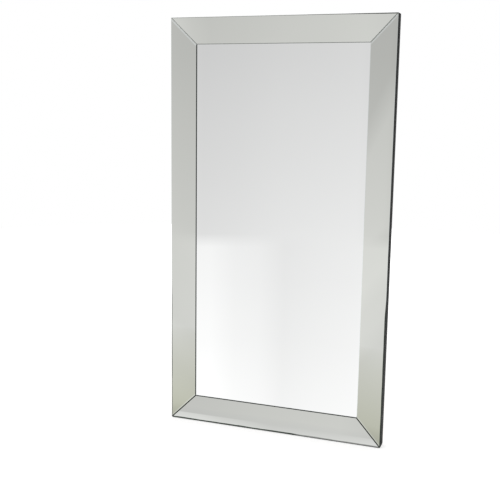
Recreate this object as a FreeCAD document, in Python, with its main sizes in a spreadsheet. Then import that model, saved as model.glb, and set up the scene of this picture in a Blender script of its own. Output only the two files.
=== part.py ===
import FreeCAD, Part
import os
import re
import Sketcher

# A floor mirror that leans on a wall: a center mirror inside four mirrored strips that slope
# inwards and meet in mitres, on a hollow board frame with battens, hangers and bumpers behind.
# X runs to the right, Y from the front to the back and Z up. The origin lies on the floor, under
# the middle of the frame's width and depth. All sizes are in millimetres.

SIZES = [
    ("mirror_width", 1118, "outer width of the mirrored frame"),
    ("mirror_height", 2057, "outer height of the mirrored frame"),
    ("frame_depth", 64, "front edge of the glass to the back face of the battens"),
    ("strip_width", 127, "width of a mirrored strip, seen from the front"),
    ("strip_recess", 25, "how much deeper a strip's inner edge lies than its outer edge"),
    ("glass_thickness", 5, "thickness of the mirrored strips"),
    ("glass_arris", 2.5, "bevel round the face of each strip, measured along the face"),
    ("mitre_gap", 0.4, "gap between two strips at a mitre"),
    ("strip_bed", 1.5, "thickness of the tape under the strips"),
    ("center_glass", 5, "thickness of the center mirror"),
    ("center_lap", 10, "how far a strip laps over the center mirror"),
    ("center_play", 2, "room round the edge of the center mirror"),
    ("glass_clearance", 0.2, "room between a strip's inner edge and the center mirror"),
    ("center_bed", 1.5, "thickness of the tape behind the center mirror"),
    ("side_board", 15, "thickness of the outer side boards"),
    ("carrier_thickness", 5, "thickness of the boards that carry the strips"),
    ("ledger_width", 20, "width of the ledgers along the side boards"),
    ("wedge_width", 28, "width of the wedges at the inner ends of the carriers"),
    ("wedge_setback", 2, "distance from a wedge to the inner end of its carrier"),
    ("backing_thickness", 9, "thickness of the backing board"),
    ("board_clearance", 0.5, "room round the backing board and the battens"),
    ("batten_width", 60, "width of the battens on the back"),
    ("tape_width", 20, "width of a run of mirror tape"),
    ("tape_inset", 8, "distance from a tape to the edge of its carrier"),
    ("tape_end", 30, "distance from the end of a tape to the mitre or edge"),
    ("center_tapes", 5, "number of tapes behind the center mirror"),
    ("floor_pad_height", 3, "height of the floor pads"),
    ("floor_pad_length", 60, "length of a floor pad"),
    ("floor_pad_inset", 8, "distance from a floor pad to the front and the back"),
    ("floor_pad_edge", 40, "distance from an outer floor pad to the side"),
    ("floor_pads", 3, "number of floor pads"),
    ("screw_radius", 2, "radius of every screw's shank"),
    ("screw_clearance", 0.1, "room round a screw's shank and head"),
    ("sunk_head", 4, "radius of a countersunk screw head"),
    ("pan_head", 4.2, "radius of a pan screw head"),
    ("pan_height", 2.6, "height of a pan screw head"),
    ("pan_round", 1.2, "rounding of a pan screw head"),
    ("screw_point", 1.2, "blunting of a screw's end"),
    ("batten_screw", 25, "length of the screws through the battens"),
    ("short_screw", 14, "depth to which the other screws enter a batten"),
    ("stile_screws", 5, "screws in each upright batten"),
    ("stile_screw_edge", 200, "first upright batten screw to the frame's edge"),
    ("rail_screws", 3, "screws in each level batten"),
    ("rail_screw_edge", 258, "first level batten screw to the frame's side"),
    ("rails", 4, "number of level battens"),
    ("brace_leg", 100, "length of a corner brace's leg"),
    ("brace_width", 20, "width of a corner brace's leg"),
    ("brace_plate", 2.5, "thickness of a corner brace"),
    ("brace_edge", 40, "frame's edge to the outer side of a corner brace"),
    ("brace_hole_near", 45, "brace's corner to the nearer screw of a leg"),
    ("brace_hole_far", 88, "brace's corner to the further screw of a leg"),
    ("bumper_edge", 28, "frame's edge to the centre of a wall bumper"),
    ("bumper_radius", 10, "radius of a wall bumper at its foot"),
    ("bumper_height", 8, "height of a wall bumper"),
    ("bumper_taper", 12, "taper of a wall bumper's side in degrees"),
    ("bumper_web", 4, "rubber between a bumper's foot and its screw head"),
    ("hanger_drop", 380, "frame's top to the axis of a hanger's ring"),
    ("hanger_edge", 45, "frame's side to the middle of a hanger"),
    ("hanger_width", 20, "width of a hanger plate"),
    ("hanger_length", 72, "ring's axis to the lower end of a hanger plate"),
    ("hanger_plate", 2, "thickness of a hanger plate"),
    ("hanger_round", 9, "rounding of a hanger plate's lower corners"),
    ("hanger_screws", 3, "screws in each hanger"),
    ("hanger_hole_first", 38, "ring's axis to the first hanger screw"),
    ("hanger_hole_pitch", 13, "distance between hanger screws"),
    ("knuckle_wall", 2, "wall of the loop that holds a ring"),
    ("ring_offset", 5.5, "ring's axis to the back face of the battens"),
    ("ring_wire", 2.5, "radius of the ring's wire"),
    ("ring_clearance", 0.3, "room round the wire in its loop"),
    ("ring_width", 31, "width of a ring between the middles of its legs"),
    ("ring_corner", 5, "bend radius of a ring's upper corners"),
    ("ring_leg", 10, "ring's axis to the centre of its round end"),
]

# Places and thicknesses worked out from the sizes above. Depth is counted from the front edge of
# the glass and inset from the outer edge of the frame.
DERIVED = {
    "slope": "strip_recess / strip_width",
    "slant": "sqrt(1 + slope ^ 2)",
    "glass_run": "glass_thickness * slant",
    "bed_back": "glass_run + strip_bed * slant",
    "carrier_back": "bed_back + carrier_thickness * slant",
    "carrier_end": "strip_width - center_lap - center_play",
    "center_front": "strip_recess + glass_run + glass_clearance",
    "center_back": "center_front + center_glass",
    "backing_front": "center_back + center_bed",
    "backing_back": "backing_front + backing_thickness",
    "batten_thickness": "frame_depth - backing_back",
    "batten_inset": "side_board + board_clearance",
    "half_width": "mirror_width / 2",
    "half_height": "mirror_height / 2",
    "middle_height": "floor_pad_height + half_height",
    "front_y": "-frame_depth / 2",
    "back_y": "frame_depth / 2",
    "hole_radius": "screw_radius + screw_clearance",
    "sink_depth": "sunk_head - screw_radius",
    "overrun": "strip_width / 4",
    "rail_pitch": "(mirror_height - 2 * batten_inset - batten_width) / (rails - 1)",
    "first_rail": "half_height - batten_inset - batten_width / 2",
}

# Each side of the frame: its turn about Y in degrees, its length and the middle of its outer edge.
SIDES = {
    "bottom": (0, "mirror_width", ("0", "floor_pad_height")),
    "top": (180, "mirror_width", ("0", "floor_pad_height + mirror_height")),
    "left": (90, "mirror_height", ("-half_width", "middle_height")),
    "right": (-90, "mirror_height", ("half_width", "middle_height")),
}
CORNERS = [(-1, -1), (-1, 1), (1, -1), (1, 1)]
HANDS = {"left": -1, "right": 1}
ALIAS = re.compile(r"[A-Za-z_][A-Za-z_0-9]*")
TINY = 1e-6
# A sunk head narrows as much as it goes down, in degrees.
SUNK_TAPER = "-45"

doc = FreeCAD.newDocument("FloorMirror")
sheet = doc.addObject("Spreadsheet::Sheet", "Sizes")
SIZE_NAMES = set()
sub_parts = []
cuts = []


def fill_sheet():
    for row, (name, size, meaning) in enumerate(SIZES, start=1):
        sheet.set(f"A{row}", meaning)
        sheet.set(f"B{row}", str(size))
        sheet.setAlias(f"B{row}", name)
        SIZE_NAMES.add(name)
    doc.recompute()


def expand(text):
    """The expression with each worked-out name written in full and each size read from the sheet."""

    def swap(match):
        name = match.group(0)
        if name in DERIVED:
            return "(" + expand(DERIVED[name]) + ")"
        if name in SIZE_NAMES:
            return "Sizes." + name
        return name

    return ALIAS.sub(swap, text)


def value(text):
    result = sheet.evalExpression(expand(text))
    return float(getattr(result, "Value", result))


def count(name):
    return int(round(value(name)))


def bind(item, prop, text):
    item.setExpression(prop, expand(text))


# ---- Sketches and features ----------------------------------------------------------------------


def new_body(name, place=("0", "0", "0"), turn=0):
    body = doc.addObject("PartDesign::Body", name)
    body.Label = name
    body.Placement = FreeCAD.Placement(FreeCAD.Vector(), FreeCAD.Rotation(FreeCAD.Vector(0, 1, 0), turn))
    for axis, text in zip("xyz", place):
        bind(body, f"Placement.Base.{axis}", text)
    sub_parts.append(body)
    return body


def new_sketch(body, name, role, offset="0"):
    sketch = body.newObject("Sketcher::SketchObject", name)
    plane = next(item for item in body.Origin.OriginFeatures if item.Role == role)
    sketch.AttachmentSupport = (plane, [""])
    sketch.MapMode = "FlatFace"
    bind(sketch, "AttachmentOffset.Base.z", offset)
    return sketch


def constrain(sketch, rules):
    """Add the rules together. Each is a constraint and the expression that drives it, or None."""
    first = sketch.ConstraintCount
    sketch.addConstraint([rule for rule, text in rules])
    for index, (rule, text) in enumerate(rules, start=first):
        if text is not None:
            sketch.setExpression(f"Constraints[{index}]", expand(text))


def hold(geometry, point, place):
    """Rules that keep a point at a place given by two expressions, or free where one is None."""
    return [(Sketcher.Constraint(kind, -1, 1, geometry, point, value(text)), text)
            for kind, text in zip(("DistanceX", "DistanceY"), place) if text is not None]


def add_polygon(sketch, corners):
    first = sketch.GeometryCount
    points = [FreeCAD.Vector(value(across), value(up), 0) for across, up in corners]
    following = points[1:] + points[:1]
    sketch.addGeometry([Part.LineSegment(*ends) for ends in zip(points, following)], False)
    rules = []
    for index, corner in enumerate(corners):
        after = first + (index + 1) % len(corners)
        rules.append((Sketcher.Constraint("Coincident", first + index, 2, after, 1), None))
        rules += hold(first + index, 1, corner)
    constrain(sketch, rules)


def add_rectangle(sketch, left, right, low, high):
    add_polygon(sketch, [(left, low), (right, low), (right, high), (left, high)])


def add_circles(sketch, places, radius):
    first = sketch.GeometryCount
    centres = [FreeCAD.Vector(value(across), value(up), 0) for across, up in places]
    axis = FreeCAD.Vector(0, 0, 1)
    sketch.addGeometry([Part.Circle(centre, axis, value(radius)) for centre in centres], False)
    rules = []
    for index, place in enumerate(places, start=first):
        rules += hold(index, 3, place)
        rules.append((Sketcher.Constraint("Radius", index, value(radius)), radius))
    constrain(sketch, rules)


def extrude(body, kind, sketch, length, both_ways=False, backwards=False, taper=None):
    feature = body.newObject(f"PartDesign::{kind}", f"{sketch.Name}_{kind}")
    feature.Profile = sketch
    if length is None:
        feature.Type = "ThroughAll"
    else:
        bind(feature, "Length", length)
    if both_ways:
        feature.SideType = "Symmetric"
    feature.Reversed = backwards
    if taper is not None:
        bind(feature, "TaperAngle", taper)
    sketch.Visibility = False
    doc.recompute()
    return feature


def cut(body, sketch, length, both_ways=False, backwards=False):
    """A pocket that runs the same way as a pad would, and must take material away."""
    base = body.Tip
    feature = extrude(body, "Pocket", sketch, length, both_ways, not backwards)
    cuts.append((base, feature))
    return feature


def dress(body, kind, name, base, elements, prop, size):
    feature = body.newObject(f"PartDesign::{kind}", name)
    feature.Base = (base, elements)
    bind(feature, prop, size)
    doc.recompute()
    return feature


def circle_edges(feature, depth, radius):
    """Names of the feature's round edges of one radius that lie at one depth in the body."""
    names = []
    for index, edge in enumerate(feature.Shape.Edges, start=1):
        if not isinstance(edge.Curve, Part.Circle):
            continue
        at_depth = abs(edge.Curve.Center.y - value(depth)) < TINY
        if at_depth and abs(edge.Curve.Radius - value(radius)) < TINY:
            names.append(f"Edge{index}")
    return names


# ---- Mitred members of the frame ----------------------------------------------------------------


def side_body(name, side):
    turn, length, (across, up) = SIDES[side]
    return new_body(f"{name}_{side}", (across, "front_y", up), turn), length


def mitred_member(name, side, section, gap="0"):
    """A bar along one side with its section given as depth and inset, cut at 45 degrees."""
    body, length = side_body(name, side)
    profile = new_sketch(body, f"{body.Name}_section", "YZ_Plane")
    add_polygon(profile, section)
    extrude(body, "Pad", profile, length, both_ways=True)
    mitres = new_sketch(body, f"{body.Name}_mitres", "XZ_Plane")
    for sign in (-1, 1):
        end = f"({length} / 2 - {gap})"
        beyond = f"{sign} * ({end} + overrun)"
        inner = f"{sign} * ({end} - strip_width - overrun)"
        add_polygon(mitres, [(beyond, "-overrun"), (beyond, "strip_width + overrun"),
                             (inner, "strip_width + overrun")])
    return body, cut(body, mitres, None, both_ways=True)


def layer(front, back, outer, inner):
    """A section between two sloped planes, which are named by their depth at the outer edge."""
    return [(f"{front} + slope * ({outer})", outer), (f"{front} + slope * ({inner})", inner),
            (f"{back} + slope * ({inner})", inner), (f"{back} + slope * ({outer})", outer)]


def wedge(front, back, outer, inner):
    """A section with a sloped front and a back at one depth."""
    return [(f"{front} + slope * ({outer})", outer), (f"{front} + slope * ({inner})", inner),
            (back, inner), (back, outer)]


def front_face(feature):
    """Name of the feature's flat face that looks most to the front."""
    looks = [face.normalAt(0, 0).y for face in feature.Shape.Faces]
    return f"Face{looks.index(min(looks)) + 1}"


def mirror_strip(side):
    body, mitred = mitred_member("mirror_strip", side, layer("0", "glass_run", "0", "strip_width"),
                                 "mitre_gap / 2")
    dress(body, "Chamfer", f"{body.Name}_arris", mitred, [front_face(mitred)], "Size", "glass_arris")


def strip_tape(side):
    """Two runs of tape under a strip, near the outer and the inner edge of its carrier."""
    body, length = side_body("strip_tape", side)
    profile = new_sketch(body, f"{body.Name}_section", "YZ_Plane")
    near = "side_board + tape_inset"
    far = "carrier_end - tape_inset"
    add_polygon(profile, layer("glass_run", "bed_back", near, f"{near} + tape_width"))
    add_polygon(profile, layer("glass_run", "bed_back", f"{far} - tape_width", far))
    extrude(body, "Pad", profile, f"{length} - 2 * (strip_width + tape_end)", both_ways=True)


def frame_side(side):
    mirror_strip(side)
    strip_tape(side)
    mitred_member("strip_carrier", side, layer("bed_back", "carrier_back", "side_board", "carrier_end"))
    mitred_member("side_board", side, wedge("bed_back", "frame_depth", "0", "side_board"))
    mitred_member("outer_ledger", side, wedge("carrier_back", "backing_front", "side_board",
                                              "side_board + ledger_width"))
    wedge_end = "carrier_end - wedge_setback"
    mitred_member("inner_wedge", side, wedge("carrier_back", "backing_front",
                                             f"{wedge_end} - wedge_width", wedge_end))


# ---- Places of the screws, as across and up from the middle of the frame --------------------------


def spread(first, last, total):
    """Expressions for places that are evenly spaced between two others."""
    step = f"(({last}) - ({first})) / {max(total - 1, 1)}"
    return [f"({first}) + {index} * {step}" for index in range(total)]


def stile_places(sign):
    lowest, highest = "stile_screw_edge - half_height", "half_height - stile_screw_edge"
    across = f"{sign} * (half_width - batten_inset - batten_width / 2)"
    return [(across, up) for up in spread(lowest, highest, count("stile_screws"))]


def rail_places(up):
    across = spread("rail_screw_edge - half_width", "half_width - rail_screw_edge", count("rail_screws"))
    return [(place, up) for place in across]


def brace_places(right, upper, leg):
    """The two screws on a leg of a corner brace: the leg is upright on the stile, else on the rail."""
    places = []
    for hole in ("brace_hole_near", "brace_hole_far"):
        along = f"(brace_edge + {hole})"
        middle = "(brace_edge + brace_width / 2)"
        across, up = (middle, along) if leg == "upright" else (along, middle)
        places.append((f"{right} * (half_width - {across})", f"{upper} * (half_height - {up})"))
    return places


def bumper_place(right, upper):
    return (f"{right} * (half_width - bumper_edge)", f"{upper} * (half_height - bumper_edge)")


def hanger_places(sign):
    across = f"{sign} * (half_width - hanger_edge)"
    top = "half_height - hanger_drop"
    return [(across, f"{top} - hanger_hole_first - {index} * hanger_hole_pitch")
            for index in range(count("hanger_screws"))]


# ---- Boards and battens -------------------------------------------------------------------------


def level_places():
    return [f"first_rail - {index} * rail_pitch" for index in range(count("rails"))]


def sheet_body(name, depth):
    """A body whose sketch plane lies at one depth, with its origin in the middle of the frame."""
    return new_body(name, ("0", f"front_y + {depth}", "middle_height"))


def center_mirror():
    body = sheet_body("center_mirror", "center_front")
    outline = new_sketch(body, "center_mirror_outline", "XZ_Plane")
    across = "half_width - strip_width + center_lap"
    up = "half_height - strip_width + center_lap"
    add_rectangle(outline, f"-({across})", across, f"-({up})", up)
    extrude(body, "Pad", outline, "center_glass", backwards=True)


def center_tape():
    """Upright runs of tape between the center mirror and the backing board."""
    body = sheet_body("center_tape", "center_back")
    outline = new_sketch(body, "center_tape_outline", "XZ_Plane")
    across = "half_width - strip_width - tape_end"
    up = "half_height - strip_width - tape_end"
    for middle in spread(f"-({across})", across, count("center_tapes")):
        add_rectangle(outline, f"{middle} - tape_width / 2", f"{middle} + tape_width / 2", f"-({up})", up)
    extrude(body, "Pad", outline, "center_bed", backwards=True)


def batten_screw_places():
    places = []
    for sign in HANDS.values():
        places += stile_places(sign)
    for up in level_places():
        places += rail_places(up)
    return places


def backing_board():
    body = sheet_body("backing_board", "backing_back")
    outline = new_sketch(body, "backing_board_outline", "XZ_Plane")
    across = "half_width - batten_inset"
    up = "half_height - batten_inset"
    add_rectangle(outline, f"-({across})", across, f"-({up})", up)
    extrude(body, "Pad", outline, "backing_thickness")
    holes = new_sketch(body, "backing_board_holes", "XZ_Plane")
    add_circles(holes, batten_screw_places(), "hole_radius")
    cut(body, holes, "batten_screw - batten_thickness + screw_clearance")


def batten(name, left, right, low, high, sunk_places, pilot_places):
    """A flat batten on the backing board, with countersunk through holes and blind pilot holes."""
    body = sheet_body(name, "frame_depth")
    outline = new_sketch(body, f"{name}_outline", "XZ_Plane")
    add_rectangle(outline, left, right, low, high)
    extrude(body, "Pad", outline, "batten_thickness")
    through = new_sketch(body, f"{name}_screw_holes", "XZ_Plane")
    add_circles(through, sunk_places, "hole_radius")
    drilled = cut(body, through, None)
    rims = circle_edges(drilled, "0", "hole_radius")
    dress(body, "Chamfer", f"{name}_countersinks", drilled, rims, "Size", "sink_depth")
    if pilot_places:
        pilots = new_sketch(body, f"{name}_pilot_holes", "XZ_Plane")
        add_circles(pilots, pilot_places, "hole_radius")
        cut(body, pilots, "short_screw + screw_clearance")


def stile(hand, sign):
    outer = f"{sign} * (half_width - batten_inset)"
    inner = f"{sign} * (half_width - batten_inset - batten_width)"
    up = "half_height - batten_inset"
    pilots = hanger_places(sign)
    for upper in (-1, 1):
        pilots += brace_places(sign, upper, "upright")
        pilots.append(bumper_place(sign, upper))
    batten(f"back_stile_{hand}", outer, inner, f"-({up})", up, stile_places(sign), pilots)


def rail(name, up, corner):
    """A level batten between the stiles; corner is 1 on the top one, -1 on the bottom one, else 0."""
    across = "half_width - batten_inset - batten_width - board_clearance"
    pilots = []
    if corner:
        for right in HANDS.values():
            pilots += brace_places(right, corner, "level")
    batten(name, f"-({across})", across, f"{up} - batten_width / 2", f"{up} + batten_width / 2",
           rail_places(up), pilots)


def battens():
    for hand, sign in HANDS.items():
        stile(hand, sign)
    levels = level_places()
    rail("back_rail_top", levels[0], 1)
    for index, up in enumerate(levels[1:-1], start=1):
        rail(f"cross_rail_{index}", up, 0)
    rail("back_rail_bottom", levels[-1], -1)


# ---- Screws -------------------------------------------------------------------------------------


def screws(name, places, seat, length, sunk):
    """Screws that enter towards the front; the head's seat lies behind the battens by the seat size."""
    body = sheet_body(name, f"frame_depth + {seat}")
    shanks = new_sketch(body, f"{name}_shanks", "XZ_Plane")
    add_circles(shanks, places, "screw_radius")
    shank = extrude(body, "Pad", shanks, length)
    points = circle_edges(shank, f"-({length})", "screw_radius")
    dress(body, "Chamfer", f"{name}_points", shank, points, "Size", "screw_point")
    heads = new_sketch(body, f"{name}_heads", "XZ_Plane")
    if sunk:
        add_circles(heads, places, "sunk_head")
        extrude(body, "Pad", heads, "sink_depth", taper=SUNK_TAPER)
        return
    add_circles(heads, places, "pan_head")
    head = extrude(body, "Pad", heads, "pan_height", backwards=True)
    rims = circle_edges(head, "pan_height", "pan_head")
    dress(body, "Fillet", f"{name}_rounding", head, rims, "Radius", "pan_round")


def all_screws():
    screws("batten_screws", batten_screw_places(), "0", "batten_screw", sunk=True)
    brace = []
    for right, upper in CORNERS:
        brace += brace_places(right, upper, "upright") + brace_places(right, upper, "level")
    screws("brace_screws", brace, "brace_plate", "short_screw + brace_plate", sunk=True)
    hanger = [place for sign in HANDS.values() for place in hanger_places(sign)]
    screws("hanger_screws", hanger, "hanger_plate", "short_screw + hanger_plate", sunk=False)
    bumper = [bumper_place(right, upper) for right, upper in CORNERS]
    screws("bumper_screws", bumper, "bumper_web", "short_screw + bumper_web", sunk=False)


# ---- Hardware on the back -----------------------------------------------------------------------


def corner_braces():
    """Four flat L-shaped plates over the corners of the battens."""
    body = sheet_body("corner_braces", "frame_depth + brace_plate")
    outline = new_sketch(body, "corner_braces_outline", "XZ_Plane")
    holes = []
    for right, upper in CORNERS:
        insets = [("0", "0"), ("brace_leg", "0"), ("brace_leg", "brace_width"),
                  ("brace_width", "brace_width"), ("brace_width", "brace_leg"), ("0", "brace_leg")]
        add_polygon(outline, [(f"{right} * (half_width - brace_edge - {across})",
                               f"{upper} * (half_height - brace_edge - {up})") for across, up in insets])
        holes += brace_places(right, upper, "upright") + brace_places(right, upper, "level")
    extrude(body, "Pad", outline, "brace_plate")
    drill = new_sketch(body, "corner_braces_holes", "XZ_Plane")
    add_circles(drill, holes, "hole_radius")
    drilled = cut(body, drill, None)
    rims = circle_edges(drilled, "0", "hole_radius")
    sink = "min(sink_depth, brace_plate - screw_clearance)"
    dress(body, "Chamfer", "corner_braces_countersinks", drilled, rims, "Size", sink)


def wall_bumpers():
    body = sheet_body("wall_bumpers", "frame_depth")
    places = [bumper_place(right, upper) for right, upper in CORNERS]
    outline = new_sketch(body, "wall_bumpers_outline", "XZ_Plane")
    add_circles(outline, places, "bumper_radius")
    extrude(body, "Pad", outline, "bumper_height", backwards=True, taper="-bumper_taper")
    holes = new_sketch(body, "wall_bumpers_holes", "XZ_Plane")
    add_circles(holes, places, "hole_radius")
    cut(body, holes, None, both_ways=True)
    recess = new_sketch(body, "wall_bumpers_recess", "XZ_Plane", "-bumper_web")
    add_circles(recess, places, "pan_head + screw_clearance")
    cut(body, recess, "bumper_height", backwards=True)


def floor_pads():
    body = new_body("floor_pads")
    outline = new_sketch(body, "floor_pads_outline", "XY_Plane")
    reach = "half_width - floor_pad_edge - floor_pad_length / 2"
    for middle in spread(f"-({reach})", reach, count("floor_pads")):
        add_rectangle(outline, f"{middle} - floor_pad_length / 2", f"{middle} + floor_pad_length / 2",
                      "front_y + floor_pad_inset", "back_y - floor_pad_inset")
    extrude(body, "Pad", outline, "floor_pad_height")


def hanger_body(name, hand, sign, depth):
    across = f"{sign} * (half_width - hanger_edge)"
    axis_height = "middle_height + half_height - hanger_drop"
    return new_body(f"{name}_{hand}", (across, f"back_y + {depth}", axis_height))


def hanger_plate(hand, sign):
    """A strap on the batten whose upper end is rolled into a loop round the ring's bar."""
    body = hanger_body("hanger_plate", hand, sign, "0")
    outline = new_sketch(body, f"{body.Name}_outline", "XZ_Plane")
    add_rectangle(outline, "-hanger_width / 2", "hanger_width / 2", "-hanger_length", "0")
    strap = extrude(body, "Pad", outline, "hanger_plate", backwards=True)
    low = value("-hanger_length")
    ends = [f"Edge{index}" for index, edge in enumerate(strap.Shape.Edges, start=1)
            if abs(edge.BoundBox.ZMax - low) < TINY and edge.BoundBox.XLength < TINY]
    dress(body, "Fillet", f"{body.Name}_rounding", strap, ends, "Radius", "hanger_round")
    loop = new_sketch(body, f"{body.Name}_loop", "YZ_Plane")
    add_circles(loop, [("ring_offset", "0")], "ring_wire + ring_clearance + knuckle_wall")
    extrude(body, "Pad", loop, "hanger_width", both_ways=True)
    bore = new_sketch(body, f"{body.Name}_bore", "YZ_Plane")
    add_circles(bore, [("ring_offset", "0")], "ring_wire + ring_clearance")
    cut(body, bore, None, both_ways=True)
    drill = new_sketch(body, f"{body.Name}_holes", "XZ_Plane")
    add_circles(drill, [("0", f"-hanger_hole_first - {index} * hanger_hole_pitch")
                        for index in range(count("hanger_screws"))], "hole_radius")
    cut(body, drill, None, both_ways=True)


def bend_middle(centre_across, centre_up, radius, right):
    """The point halfway round an upper corner of a ring."""
    reach = radius * 0.5 ** 0.5
    return FreeCAD.Vector(centre_across + right * reach, centre_up + reach, 0)


def ring_path(sketch):
    """The middle line of a ring: a level bar, two rounded corners, two legs and a round end."""
    leg = "(ring_width / 2)"
    bar = "(ring_width / 2 - ring_corner)"
    corners = [(f"-{bar}", "0"), (bar, "0"), (leg, "-ring_corner"), (leg, "-ring_leg"),
               (f"-{leg}", "-ring_leg"), (f"-{leg}", "-ring_corner")]
    ends = [FreeCAD.Vector(value(across), value(up), 0) for across, up in corners]
    bend = value("ring_corner")
    right_bend = bend_middle(value(bar), -bend, bend, 1)
    left_bend = bend_middle(-value(bar), -bend, bend, -1)
    bottom = FreeCAD.Vector(0, -value("ring_leg") - value(leg), 0)
    sketch.addGeometry([
        Part.LineSegment(ends[0], ends[1]),
        Part.Arc(ends[1], right_bend, ends[2]),
        Part.LineSegment(ends[2], ends[3]),
        Part.Arc(ends[3], bottom, ends[4]),
        Part.LineSegment(ends[4], ends[5]),
        Part.Arc(ends[5], left_bend, ends[0]),
    ], False)
    rules = []
    for line in (0, 2, 4):
        rules += hold(line, 1, corners[line]) + hold(line, 2, corners[line + 1])
    rules += joined_arc(sketch, 1, (bar, None))
    rules += joined_arc(sketch, 3, (None, "-ring_leg"))
    rules += joined_arc(sketch, 5, (f"-{bar}", None))
    constrain(sketch, rules)


def joined_arc(sketch, arc, centre):
    """Rules that join an arc to the lines before and after it, whichever way round it is stored."""
    before = arc - 1
    after = (arc + 1) % sketch.GeometryCount
    forward = sketch.getPoint(arc, 1).distanceToPoint(sketch.getPoint(before, 2)) < TINY
    near, far = (1, 2) if forward else (2, 1)
    joints = [Sketcher.Constraint("Coincident", before, 2, arc, near),
              Sketcher.Constraint("Coincident", after, 1, arc, far)]
    return [(joint, None) for joint in joints] + hold(arc, 3, centre)


def hanger_ring(hand, sign):
    body = hanger_body("hanger_ring", hand, sign, "ring_offset")
    path = new_sketch(body, f"{body.Name}_path", "XZ_Plane")
    ring_path(path)
    wire = new_sketch(body, f"{body.Name}_wire", "YZ_Plane")
    add_circles(wire, [("0", "0")], "ring_wire")
    doc.recompute()
    pipe = body.newObject("PartDesign::AdditivePipe", f"{body.Name}_bend")
    pipe.Profile = wire
    pipe.Spine = (path, [])
    doc.recompute()


# ---- The whole mirror ---------------------------------------------------------------------------


def check_model():
    for item in doc.Objects:
        if "Invalid" in item.State or "Error" in item.State:
            raise RuntimeError(f"{item.Label} failed: {item.State}")
    for base, feature in cuts:
        if feature.Shape.Volume > base.Shape.Volume - TINY:
            raise RuntimeError(f"{feature.Label} takes nothing away")
    for item in sub_parts:
        if item.Shape.isNull() or not item.Shape.isValid() or not item.Shape.Solids:
            raise RuntimeError(f"{item.Label} has no valid solid")


def main():
    fill_sheet()
    for side in SIDES:
        frame_side(side)
    center_mirror()
    center_tape()
    backing_board()
    battens()
    corner_braces()
    wall_bumpers()
    floor_pads()
    for hand, sign in HANDS.items():
        hanger_plate(hand, sign)
        hanger_ring(hand, sign)
    all_screws()
    doc.recompute()
    check_model()
    os.makedirs("parts", exist_ok=True)
    for item in sub_parts:
        item.Shape.exportStep(f"parts/{item.Label}.step")
        print(f"{item.Label}: {len(item.Shape.Solids)} solids, {item.Shape.Volume:.1f} mm3")


main()
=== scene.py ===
"""A leaning floor mirror, dressed for a studio picture.

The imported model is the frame: every piece is where the construction puts it, in metres, with +Z up, the
mirror facing -Y and its back towards the wall at +Y. Glass, painted boards, battens, screws, bumpers and
pads are modelled here. The other pieces keep their shape and get their finish.
"""

import math
import random

import bmesh
import bpy
from bpy.props import FloatProperty, FloatVectorProperty, PointerProperty
from mathutils import Matrix, Vector


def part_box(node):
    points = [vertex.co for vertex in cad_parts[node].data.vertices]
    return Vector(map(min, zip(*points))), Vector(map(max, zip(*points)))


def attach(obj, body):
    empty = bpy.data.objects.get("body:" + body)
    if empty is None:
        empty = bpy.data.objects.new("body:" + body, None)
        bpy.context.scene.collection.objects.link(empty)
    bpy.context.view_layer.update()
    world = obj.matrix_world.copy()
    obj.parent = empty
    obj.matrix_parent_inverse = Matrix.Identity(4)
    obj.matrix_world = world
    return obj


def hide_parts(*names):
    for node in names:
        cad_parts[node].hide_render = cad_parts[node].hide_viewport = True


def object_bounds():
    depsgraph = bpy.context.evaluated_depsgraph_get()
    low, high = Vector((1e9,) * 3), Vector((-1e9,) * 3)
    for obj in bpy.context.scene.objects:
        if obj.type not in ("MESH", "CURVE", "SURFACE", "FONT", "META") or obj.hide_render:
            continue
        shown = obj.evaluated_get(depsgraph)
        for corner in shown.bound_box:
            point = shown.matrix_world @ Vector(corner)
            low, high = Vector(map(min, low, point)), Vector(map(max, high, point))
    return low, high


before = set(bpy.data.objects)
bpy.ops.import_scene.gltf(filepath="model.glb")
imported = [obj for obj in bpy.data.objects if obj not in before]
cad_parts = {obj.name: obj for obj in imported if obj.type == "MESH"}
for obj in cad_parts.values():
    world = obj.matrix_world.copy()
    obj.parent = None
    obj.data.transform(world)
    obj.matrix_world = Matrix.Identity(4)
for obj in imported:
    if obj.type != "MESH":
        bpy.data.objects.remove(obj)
CAD_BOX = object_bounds()

bl_info = {
    "name": "Leaning floor mirror",
    "version": (1, 0, 0),
    "blender": (4, 5, 0),
    "location": "3D View > Sidebar > Floor mirror",
    "description": "Dresses a leaning floor mirror: glass, painted case, battens and hardware",
    "category": "Object",
}

SIDES = ("bottom", "top", "left", "right")
HANDS = ("left", "right")
MAIN_BODY = "mirror"

# The camera of the picture: its place in metres and its turns in radians. The mirror leans back a little,
# and the picture is taken as if the camera leaned forward instead.
CAMERA_PLACE = (1.2517, -3.8738, 1.6439)
CAMERA_YAW = 0.34516
CAMERA_PITCH = 0.17210
CAMERA_ROLL = 0.0142481
CAMERA_LENS = 60.10
SENSOR_WIDTH = 36.0

MERGE_DISTANCE = 1e-6
FLAT_ANGLE = math.radians(0.5)
SMOOTH_ANGLE = math.radians(35)
LONG_EDGE = 0.04
SEED = 7


def a_colour(name, description, default):
    """A colour that a user may change."""
    return FloatVectorProperty(name=name, description=description, default=default, min=0, max=1,
                               subtype="COLOR")


def a_length(name, description, default):
    """A length in metres that a user may change."""
    return FloatProperty(name=name, description=description, default=default, min=0, precision=5,
                         unit="LENGTH", subtype="DISTANCE")


def a_share(name, description, default):
    """A share from 0 to 1 that a user may change."""
    return FloatProperty(name=name, description=description, default=default, min=0, max=1, subtype="FACTOR")


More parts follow.
